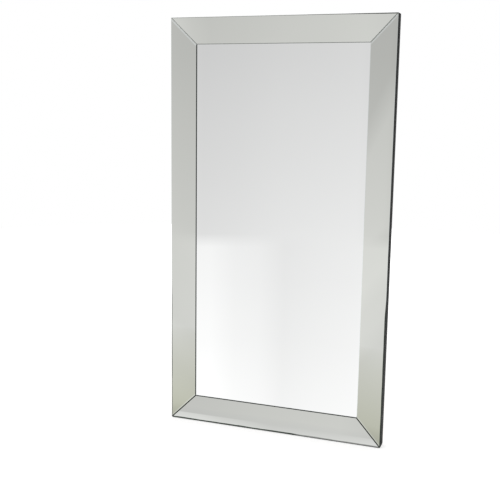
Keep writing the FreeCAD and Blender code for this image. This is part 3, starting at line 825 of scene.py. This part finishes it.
def coat_nodes(names, material):
    """Gives CAD pieces, which keep their shape, their finish."""
    for name in names:
        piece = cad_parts[name]
        for index in range(len(piece.data.materials)):
            piece.data.materials[index] = material


# ---- Glass ----

FRONT = 0.9
ARRIS_TURN = 0.25
# Which way an arris looks picks its finish. Arrises that look left, or right but not as much as the left
# strip's inner one, and not down, are polished, those of them that look up too get a pale painted highlight,
# and all others are dark with painted shade.
SIDEWAYS = 0.5
RIGHTWARD = 0.7
UPWARD = 0.3


def faces_front(face):
    """Whether a face of the glass looks forward, slope or not."""
    return face.normal.y < -FRONT


def front_rim(edge):
    """Whether an edge bounds the mirrored face."""
    return any(faces_front(face) for face in edge.link_faces)


def arris_finish(normal, upright):
    """The finish of an arris with this normal: painted shade, painted highlight or polish, by which way it
    looks.
    """
    if abs(normal.x) < SIDEWAYS or normal.x > RIGHTWARD or normal.z < -UPWARD:
        return finish(ground_arris, upright)
    return finish(frosted_arris) if normal.z > UPWARD else finish(polished_arris)


def finish_glass(piece, silver, upright=False):
    """Gives each face of a sheet its finish: mirror, arris, ground edge or back paint."""
    materials = piece.data.materials
    for face in piece.data.polygons:
        forward = -face.normal.y
        if forward > FRONT:
            chosen = silver
        elif forward > ARRIS_TURN:
            chosen = arris_finish(face.normal, upright)
        elif forward > -FRONT:
            chosen = finish(ground_edge)
        else:
            chosen = finish(mirror_back)
        if chosen.name not in materials:
            materials.append(chosen)
        face.material_index = materials.find(chosen.name)


class FLOORMIRROR_OT_center_glass(bpy.types.Operator):
    """Model the flat center mirror, with a fine arris round its front"""

    bl_idname = "floor_mirror.center_glass"
    bl_label = "Center mirror"

    def execute(self, context):
        glass = settings().glass
        low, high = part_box("center_mirror")
        piece = block("center_glass", low, high)
        round_edges(piece, glass.center_arris, 1, front_rim)
        finish_glass(piece, finish(center_silver))
        stand_for(piece, "center_mirror")
        return {"FINISHED"}


def center_silver():
    """The center mirror's silver."""
    return silvered_glass("center_silver", settings().glass.center_silver, rimmed=False)


def strip_silver(upright):
    """The sloped strips' silver, with painted shade that darkens it near the floor on the upright ones and at
    the bottom strip's foot.
    """
    glass = settings().glass
    if upright:
        return silvered_glass("upright_strip_silver", glass.strip_silver, glass.painted_shade_silver, mitred=True)
    return silvered_glass("level_strip_silver", glass.strip_silver, glass.painted_foot_shade_silver, PAINTED_SHADE_FOOT_HEIGHTS)


class FLOORMIRROR_OT_glass_strips(bpy.types.Operator):
    """Model the four mitred, sloped mirror strips, with polished arrises and arrises of painted shade and
    highlight
    """

    bl_idname = "floor_mirror.glass_strips"
    bl_label = "Mirror strips"

    def execute(self, context):
        for side in SIDES:
            upright = side in HANDS
            piece = copy_of(f"mirror_strip_{side}", f"glass_strip_{side}")
            finish_glass(piece, finish(strip_silver, upright), upright)
            stand_for(piece, f"mirror_strip_{side}")
        return {"FINISHED"}


# ---- Boards and battens ----


class FLOORMIRROR_OT_side_boards(bpy.types.Operator):
    """Model the four painted side boards, with softened edges"""

    bl_idname = "floor_mirror.side_boards"
    bl_label = "Side boards"

    def execute(self, context):
        for side in SIDES:
            piece = copy_of(f"side_board_{side}", f"painted_board_{side}")
            bevel_all(piece, settings().case.board_rounding, 2)
            smooth(piece)
            coat(piece, finish(matt_paint))
            stand_for(piece, f"side_board_{side}")
        return {"FINISHED"}


class FLOORMIRROR_OT_inner_boards(bpy.types.Operator):
    """Finish the carriers, ledgers and wedges that hold the strips at their slope"""

    bl_idname = "floor_mirror.inner_boards"
    bl_label = "Inner boards"

    def execute(self, context):
        for side in SIDES:
            upright = side in HANDS
            coat_nodes([f"strip_carrier_{side}"], finish(plywood, upright))
            coat_nodes([f"outer_ledger_{side}", f"inner_wedge_{side}"], finish(pine, upright))
        return {"FINISHED"}


class FLOORMIRROR_OT_tapes(bpy.types.Operator):
    """Finish the mirror tape behind the strips and the center mirror"""

    bl_idname = "floor_mirror.tapes"
    bl_label = "Mirror tape"

    def execute(self, context):
        coat_nodes([f"strip_tape_{side}" for side in SIDES] + ["center_tape"], finish(foam_tape))
        return {"FINISHED"}


class FLOORMIRROR_OT_backing_board(bpy.types.Operator):
    """Finish the fibreboard behind the center mirror"""

    bl_idname = "floor_mirror.backing_board"
    bl_label = "Backing board"

    def execute(self, context):
        coat_nodes(["backing_board"], finish(fibreboard))
        return {"FINISHED"}


def long_and_sharp(edge):
    """Whether an edge is a batten's own long edge, and not the rim of a hole."""
    return edge.calc_length() > LONG_EDGE and sharp(edge)


class FLOORMIRROR_OT_battens(bpy.types.Operator):
    """Model the upright and level battens, with softened edges and sunk screw holes"""

    bl_idname = "floor_mirror.battens"
    bl_label = "Battens"

    def execute(self, context):
        stiles = [f"back_stile_{hand}" for hand in HANDS]
        for node in (*stiles, "back_rail_top", "back_rail_bottom", "cross_rail_1", "cross_rail_2"):
            piece = copy_of(node, node.replace("back_", "").replace("cross_", "middle_") + "_batten")
            round_edges(piece, settings().case.batten_rounding, 2, long_and_sharp)
            smooth(piece)
            coat(piece, finish(pine, node in stiles))
            stand_for(piece, node)
        return {"FINISHED"}


# ---- Hardware ----

SCREW_SIDES = 28
BUMPER_SIDES = 48
POINT_SHARE = 0.3
POINT_LENGTH = 0.003
RECESS_TAPER = 0.55
RIM_ROUNDING = 0.0002
PAN_ROUNDING = 0.45
TOWARDS_BACK = Matrix.Rotation(math.radians(-90), 4, "X")


def extrude(move, size):
    """Extrudes the selected face along Z, and scales its new end."""
    bpy.ops.mesh.extrude_region_move(TRANSFORM_OT_translate={"value": (0, 0, move)})
    bpy.ops.transform.resize(value=(size, size, 1))


def cross_cutter(radius, slot, depth):
    """Two crossed bars that narrow as they go down, to cut a cross recess with."""
    bars = []
    for size in ((2 * radius, slot), (slot, 2 * radius)):
        deselect()
        bpy.ops.mesh.primitive_cube_add(size=1, scale=(*size, 2 * depth))
        bar = added("recess_bar")
        start_edit(bar)
        choose(bar, "faces", lambda face: face.normal.z < -FRONT)
        bpy.ops.transform.resize(value=(RECESS_TAPER, RECESS_TAPER, 1))
        end_edit()
        bars.append(bar)
    return bars


def screw(name, head, length, sunk):
    """A screw with a cross recess, its head's top at the origin and its point down Z."""
    hardware = settings().hardware
    rise = head - hardware.shank if sunk else hardware.pan_height
    shaft = length - rise - POINT_LENGTH
    deselect()
    bpy.ops.mesh.primitive_cylinder_add(vertices=SCREW_SIDES, radius=hardware.shank, depth=shaft,
                                        location=(0, 0, -rise - shaft / 2))
    piece = added(name)
    start_edit(piece)
    choose(piece, "faces", lambda face: face.normal.z < -FRONT)
    extrude(-POINT_LENGTH, POINT_SHARE)
    choose(piece, "faces", lambda face: face.normal.z > FRONT)
    widening = head / hardware.shank
    if sunk:
        extrude(rise, widening)
    else:
        extrude(0, widening)
        extrude(rise, 1)
    end_edit()
    rounding = RIM_ROUNDING if sunk else hardware.pan_height * PAN_ROUNDING
    round_edges(piece, rounding, 3, lambda edge: sharp(edge) and all(v.co.z > -rounding for v in edge.verts))
    for bar in cross_cutter(hardware.recess, hardware.recess_slot, hardware.recess_depth):
        take(piece)
        cut = piece.modifiers.new("Recess", "BOOLEAN")
        cut.object = bar
        cut.operation = "DIFFERENCE"
        cut.solver = "EXACT"
        bpy.ops.object.modifier_apply(modifier=cut.name)
        bpy.data.objects.remove(bar)
    return piece


def drive_screws(node, name, sunk):
    """Models one screw of a group and drives a copy of it into each place, turned as it came to rest."""
    boxes = loose_boxes(node)
    low, high = boxes[0]
    pattern = screw(name + "_pattern", (high.x - low.x) / 2, high.y - low.y, sunk)
    turns = random.Random(SEED)
    copies = []
    for low, high in boxes:
        copy = bpy.data.objects.new(name, pattern.data.copy())
        bpy.context.scene.collection.objects.link(copy)
        turn = Matrix.Rotation(turns.uniform(0, math.pi / 2), 4, "Z")
        copy.data.transform(Matrix.Translation(rear_middle(low, high)) @ TOWARDS_BACK @ turn)
        copies.append(copy)
    bpy.data.objects.remove(pattern)
    piece = joined(copies, name)
    smooth(piece)
    coat(piece, finish(zinc_plate))
    stand_for(piece, node)


class FLOORMIRROR_OT_screws(bpy.types.Operator):
    """Model the screws of the battens, braces, hangers and bumpers, each with its cross recess"""

    bl_idname = "floor_mirror.screws"
    bl_label = "Screws"

    def execute(self, context):
        drive_screws("batten_screws", "sunk_screws_battens", True)
        drive_screws("brace_screws", "sunk_screws_braces", True)
        drive_screws("hanger_screws", "pan_screws_hangers", False)
        drive_screws("bumper_screws", "pan_screws_bumpers", False)
        return {"FINISHED"}


class FLOORMIRROR_OT_braces_and_hangers(bpy.types.Operator):
    """Finish the flat corner braces, the strap hangers and their swinging rings"""

    bl_idname = "floor_mirror.braces_and_hangers"
    bl_label = "Braces and hangers"

    def execute(self, context):
        names = ["corner_braces"]
        for hand in HANDS:
            names += [f"hanger_plate_{hand}", f"hanger_ring_{hand}"]
        coat_nodes(names, finish(zinc_plate))
        return {"FINISHED"}


class FLOORMIRROR_OT_rubber(bpy.types.Operator):
    """Model the wall bumpers and the floor pads"""

    bl_idname = "floor_mirror.rubber"
    bl_label = "Bumpers and pads"

    def execute(self, context):
        self.bumpers()
        self.pads()
        return {"FINISHED"}

    def bumpers(self):
        """A tapered foot with a hollow for its screw, at each corner of the back."""
        hardware = settings().hardware
        bumpers = []
        for low, high in loose_boxes("wall_bumpers"):
            foot = (high.x - low.x) / 2
            rise = high.y - low.y
            deselect()
            bpy.ops.mesh.primitive_cylinder_add(vertices=BUMPER_SIDES, radius=foot, depth=rise,
                                                location=(0, 0, -rise / 2))
            piece = added("bumper")
            start_edit(piece)
            choose(piece, "faces", lambda face: face.normal.z > FRONT)
            tip = foot * hardware.bumper_taper
            bpy.ops.transform.resize(value=(hardware.bumper_taper, hardware.bumper_taper, 1))
            bpy.ops.mesh.inset(thickness=tip - hardware.bumper_hollow)
            extrude(hardware.bumper_web - rise, 1)
            end_edit()
            rim = hardware.rubber_rounding
            round_edges(piece, rim, 3, lambda edge: sharp(edge) and all(v.co.z > -rim for v in edge.verts))
            piece.data.transform(Matrix.Translation(rear_middle(low, high)) @ TOWARDS_BACK)
            bumpers.append(piece)
        self.dress(joined(bumpers, "rubber_bumpers"), "wall_bumpers")

    def pads(self):
        """A flat pad with soft edges under the middle and near each end of the bottom board."""
        pads = []
        for low, high in loose_boxes("floor_pads"):
            pad = block("pad", low, high)
            bevel_all(pad, settings().hardware.rubber_rounding, 3)
            pads.append(pad)
        self.dress(joined(pads, "rubber_pads"), "floor_pads")

    def dress(self, piece, node):
        """Shades and finishes a rubber piece."""
        smooth(piece)
        coat(piece, finish(black_rubber))
        stand_for(piece, node)


# ---- Studio ----

# What the mirrors see: brightness over distance on the floor, over height on the backdrop and over the
# steepness of the ceiling. The backdrop has a brighter panel low on the left.
FLOOR_TONES = ((0.0, 0.985), (0.06, 0.955), (0.13, 0.93), (0.22, 0.90), (0.5, 0.855), (1.0, 0.81))
WALL_TONES = ((0.0, 0.81), (0.2, 0.735), (0.33, 0.68), (0.45, 0.66), (0.8, 0.90), (1.0, 0.95))
CEILING_TONES = ((0.0, 0.95), (0.84, 0.95), (0.90, 0.35), (1.0, 0.22))
# The tones also change sideways, in a fan round a point behind the mirror: how far left, and how bright.
FAN_POINT = (1.25, 3.87)
FAN_REACH = 0.6
FAN_GAIN = 1.15
FAN_TONES = ((0.0, 0.97), (0.30, 1.0), (0.37, 1.05), (0.45, 1.025), (0.54, 1.0), (0.63, 0.96), (0.71, 0.935),
             (0.75, 0.98), (0.79, 1.08), (1.0, 1.08))
# The floor near the mirror has sideways tones of its own, up to the distances where the others take over.
NEAR_FAN_TONES = ((0.0, 1.09), (0.30, 1.09), (0.37, 1.05), (0.45, 1.02), (0.52, 0.985), (0.577, 1.05),
                  (0.633, 1.07), (0.69, 1.14), (1.0, 1.14))
NEAR_REACH = (5.6, 6.6)
PANEL_FAN = (0.735, 0.76)
PANEL_TOP = (1.85, 2.45)
PANEL_SLANT = 21.0 * FAN_REACH
PANEL_SHADE = 0.86
# Close to the mirror's foot the floor is in shade.
FOOT_SHADE = 0.75
FOOT_REACH = 0.25
# What the camera sees of the floor: a glow that grows with distance, over a matt floor that keeps the shadow.
# Under the frame the glow fades out within a short reach of its edge, so that the shade there stays dark.
UNDER_EDGE = 0.008
FLOOR_GLOW = (0.55, 1.0)
FLOOR_GLOW_REACH = (1.6, 5.0)
FLOOR_COLOUR = (0.92, 0.92, 0.915)
SHOWN_COLOUR = (0.68, 0.68, 0.676)
STAGE_SIDES = 128

# Each lamp: name, place, aim, power and size.
LAMPS = (
    ("key_lamp", (-3.0, -3.6, 4.2), (0.0, 0.0, 1.0), 62.0, 2.6),
    ("fill_lamp", (3.8, -2.6, 3.0), (0.0, 0.0, 1.0), 34.0, 2.4),
    ("back_lamp", (-2.6, 3.6, 3.6), (0.0, 0.0, 1.0), 62.0, 2.4),
    ("back_fill_lamp", (3.4, 3.4, 2.2), (0.0, 0.0, 1.0), 26.0, 2.0),
)


def fan(tree, place):
    """How far to the left a point of the stage lies, in a fan round a point behind the mirror."""
    parts = axes(tree, place)
    across = sums(tree, "SUBTRACT", parts["X"], FAN_POINT[0])
    back = sums(tree, "SUBTRACT", parts["Y"], FAN_POINT[1])
    return sums(tree, "DIVIDE", across, back, FAN_REACH)


def sideways(tree, left, factors):
    """How bright the stage is for how far left it lies, as a share of the gain."""
    return tones(tree, left, [(position, factor / FAN_GAIN) for position, factor in factors])


def tones(tree, share, stops):
    """A grey ramp through the given stops, the first of them at 0."""
    ramp = add(tree, "ShaderNodeValToRGB", {"Fac": share})
    elements = ramp.color_ramp.elements
    elements.remove(elements[-1])
    for position, grey in stops:
        element = elements.new(position) if position else elements[0]
        element.color = (grey, grey, grey, 1)
    return ramp.outputs["Color"]


def seen_by(tree, seen, lit):
    """Mixes what the camera sees, and what a mirror sees, with what lights the object."""
    rays = add(tree, "ShaderNodeLightPath").outputs
    mirror = sums(tree, "MAXIMUM", rays["Is Glossy Ray"], rays["Is Transmission Ray"])
    plain = add(tree, "ShaderNodeMixShader", {0: rays["Is Camera Ray"], 1: lit, 2: seen[0]}).outputs[0]
    return add(tree, "ShaderNodeMixShader", {0: mirror, 1: plain, 2: seen[1]}).outputs[0]


def stage_material(name):
    """An empty material for the stage, with its tree, its output and the object's own coordinates."""
    material = bpy.data.materials.new(name)
    material.use_nodes = True
    tree = material.node_tree
    tree.nodes.clear()
    output = add(tree, "ShaderNodeOutputMaterial").inputs["Surface"]
    place = add(tree, "ShaderNodeTexCoord").outputs["Object"]
    return material, tree, output, place


def glow(tree, colour, strength=1.0):
    """An even glow."""
    return add(tree, "ShaderNodeEmission", {"Color": colour, "Strength": strength}).outputs[0]


def floor_material(reach):
    """A white floor that keeps the object's shadow, and greys with distance in the mirrors."""
    material, tree, output, place = stage_material("studio_floor")
    distance = add(tree, "ShaderNodeVectorMath", {0: place}, operation="LENGTH").outputs["Value"]
    left = fan(tree, place)
    factor = mix(tree, span(tree, distance, *NEAR_REACH), sideways(tree, left, NEAR_FAN_TONES),
                 sideways(tree, left, FAN_TONES))
    tone = mix(tree, 1.0, tones(tree, sums(tree, "DIVIDE", distance, reach), FLOOR_TONES), factor, "MULTIPLY")
    parts = axes(tree, place)
    depth = sums(tree, "ABSOLUTE", parts["Y"], 0.0)
    foot = span(tree, depth, 0.0, FOOT_REACH, FOOT_SHADE, 1.0)
    mirrored = glow(tree, tone, sums(tree, "MULTIPLY", foot, FAN_GAIN))
    lit = add(tree, "ShaderNodeBsdfDiffuse", {"Color": FLOOR_COLOUR}).outputs[0]
    matt = add(tree, "ShaderNodeBsdfDiffuse", {"Color": SHOWN_COLOUR}).outputs[0]
    low, high = CAD_BOX
    beside = span(tree, sums(tree, "ABSOLUTE", parts["X"], 0.0), high[0] - UNDER_EDGE, high[0])
    before = span(tree, depth, -low[1] - UNDER_EDGE, -low[1])
    clear = sums(tree, "MAXIMUM", beside, before)
    far = span(tree, distance, *FLOOR_GLOW_REACH, *FLOOR_GLOW)
    white = glow(tree, WHITE, sums(tree, "MULTIPLY", far, clear))
    shown = add(tree, "ShaderNodeAddShader", {0: matt, 1: white}).outputs[0]
    feed(tree, output, seen_by(tree, (shown, mirrored), lit))
    return material


def wall_material(height):
    """A backdrop that is white behind the object, and greys with height in the mirrors."""
    material, tree, output, place = stage_material("studio_backdrop")
    up = axes(tree, place)["Z"]
    left = fan(tree, place)
    tone = mix(tree, 1.0, tones(tree, sums(tree, "DIVIDE", up, height), WALL_TONES),
               sideways(tree, left, FAN_TONES), "MULTIPLY")
    slant = sums(tree, "MULTIPLY", sums(tree, "SUBTRACT", left, PANEL_FAN[1]), PANEL_SLANT)
    above = span(tree, sums(tree, "ADD", up, slant), *PANEL_TOP)
    above = sums(tree, "MULTIPLY", above, span(tree, left, *PANEL_FAN))
    mirrored = glow(tree, tone, span(tree, above, 0.0, 1.0, FAN_GAIN, FAN_GAIN * PANEL_SHADE))
    lit = glow(tree, WHITE, settings().studio.ambient)
    feed(tree, output, seen_by(tree, (glow(tree, WHITE), mirrored), lit))
    return material


def set_world():
    """White for the camera, grey for the mirrors, and soft light from all round."""
    world = bpy.data.worlds.new("studio_world")
    world.use_nodes = True
    tree = world.node_tree
    tree.nodes.clear()
    output = add(tree, "ShaderNodeOutputWorld").inputs["Surface"]
    direction = add(tree, "ShaderNodeTexCoord").outputs["Generated"]
    ceiling = tones(tree, axes(tree, direction)["Z"], CEILING_TONES)
    glows = ((WHITE, 1.0), (ceiling, 1.0), (WHITE, settings().studio.ambient))
    white, grey, lit = (add(tree, "ShaderNodeBackground", {"Color": colour, "Strength": strength}).outputs[0]
                        for colour, strength in glows)
    feed(tree, output, seen_by(tree, (white, grey), lit))
    bpy.context.scene.world = world


class FLOORMIRROR_OT_stage(bpy.types.Operator):
    """Set up the floor, the backdrop, the lamps and the camera"""

    bl_idname = "floor_mirror.stage"
    bl_label = "Stage"

    def execute(self, context):
        context.scene.view_settings.view_transform = "Standard"
        set_world()
        self.floor_and_backdrop()
        self.lamps()
        self.camera(context)
        return {"FINISHED"}

    def floor_and_backdrop(self):
        """A round floor with a round backdrop at its rim."""
        studio = settings().studio
        deselect()
        bpy.ops.mesh.primitive_circle_add(vertices=STAGE_SIDES, radius=studio.reach, fill_type="NGON")
        floor = added("studio_floor")
        coat(floor, floor_material(studio.reach))
        deselect()
        bpy.ops.mesh.primitive_cylinder_add(vertices=STAGE_SIDES, radius=studio.reach,
                                            depth=studio.wall_height, end_fill_type="NOTHING",
                                            location=(0, 0, studio.wall_height / 2))
        wall = added("studio_backdrop")
        start_edit(wall)
        bpy.ops.mesh.select_all(action="SELECT")
        bpy.ops.mesh.flip_normals()
        end_edit()
        smooth(wall)
        coat(wall, wall_material(studio.wall_height))

    def lamps(self):
        """Large soft lamps, which the mirrors don't show."""
        for name, place, aim, power, size in LAMPS:
            bpy.ops.object.light_add(type="AREA", location=place)
            lamp = bpy.context.active_object
            lamp.name = name
            lamp.rotation_euler = (Vector(aim) - Vector(place)).to_track_quat("-Z", "Y").to_euler()
            lamp.data.energy = power
            lamp.data.size = size
            lamp.data.color = settings().studio.lamp_colour
            lamp.visible_glossy = False

    def camera(self, context):
        """The camera of the picture."""
        bpy.ops.object.camera_add(location=CAMERA_PLACE)
        camera = context.active_object
        camera.name = "picture_camera"
        yaw = Matrix.Rotation(CAMERA_YAW, 3, "Z")
        pitch = Matrix.Rotation(math.radians(90) - CAMERA_PITCH, 3, "X")
        roll = Matrix.Rotation(CAMERA_ROLL, 3, "Z")
        camera.rotation_euler = (yaw @ pitch @ roll).to_euler()
        camera.data.sensor_width = SENSOR_WIDTH
        camera.data.lens = CAMERA_LENS
        context.scene.camera = camera


# ---- The add-on ----

STEPS = (FLOORMIRROR_OT_center_glass, FLOORMIRROR_OT_glass_strips, FLOORMIRROR_OT_side_boards,
         FLOORMIRROR_OT_inner_boards, FLOORMIRROR_OT_tapes, FLOORMIRROR_OT_backing_board,
         FLOORMIRROR_OT_battens, FLOORMIRROR_OT_screws, FLOORMIRROR_OT_braces_and_hangers,
         FLOORMIRROR_OT_rubber, FLOORMIRROR_OT_stage)


class FLOORMIRROR_PT_sidebar(bpy.types.Panel):
    """The floor mirror's settings, and a button for each step"""

    bl_idname = "FLOORMIRROR_PT_sidebar"
    bl_label = "Floor mirror"
    bl_space_type = "VIEW_3D"
    bl_region_type = "UI"
    bl_category = "Floor mirror"

    def draw(self, context):
        layout = self.layout
        for group in ("glass", "case", "hardware", "studio"):
            box = layout.box()
            box.label(text=group.capitalize())
            values = getattr(context.scene.floor_mirror, group)
            for value in values.bl_rna.properties:
                if value.identifier not in ("rna_type", "name"):
                    box.prop(values, value.identifier)
        for step in STEPS:
            layout.operator(step.bl_idname)


CLASSES = (GlassSettings, CaseSettings, HardwareSettings, StudioSettings, FloorMirrorSettings, *STEPS,
           FLOORMIRROR_PT_sidebar)


def register():
    """Registers the classes and adds the settings to the scene."""
    for each in CLASSES:
        bpy.utils.register_class(each)
    bpy.types.Scene.floor_mirror = PointerProperty(type=FloorMirrorSettings, name="Floor mirror",
                                                   description="Settings of the floor mirror")


def unregister():
    """Takes the settings and the classes away again."""
    del bpy.types.Scene.floor_mirror
    for each in reversed(CLASSES):
        bpy.utils.unregister_class(each)


def main():
    """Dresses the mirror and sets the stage."""
    register()
    for step in STEPS:
        group, name = step.bl_idname.split(".")
        getattr(getattr(bpy.ops, group), name)()


if __name__ == "__main__":
    main()
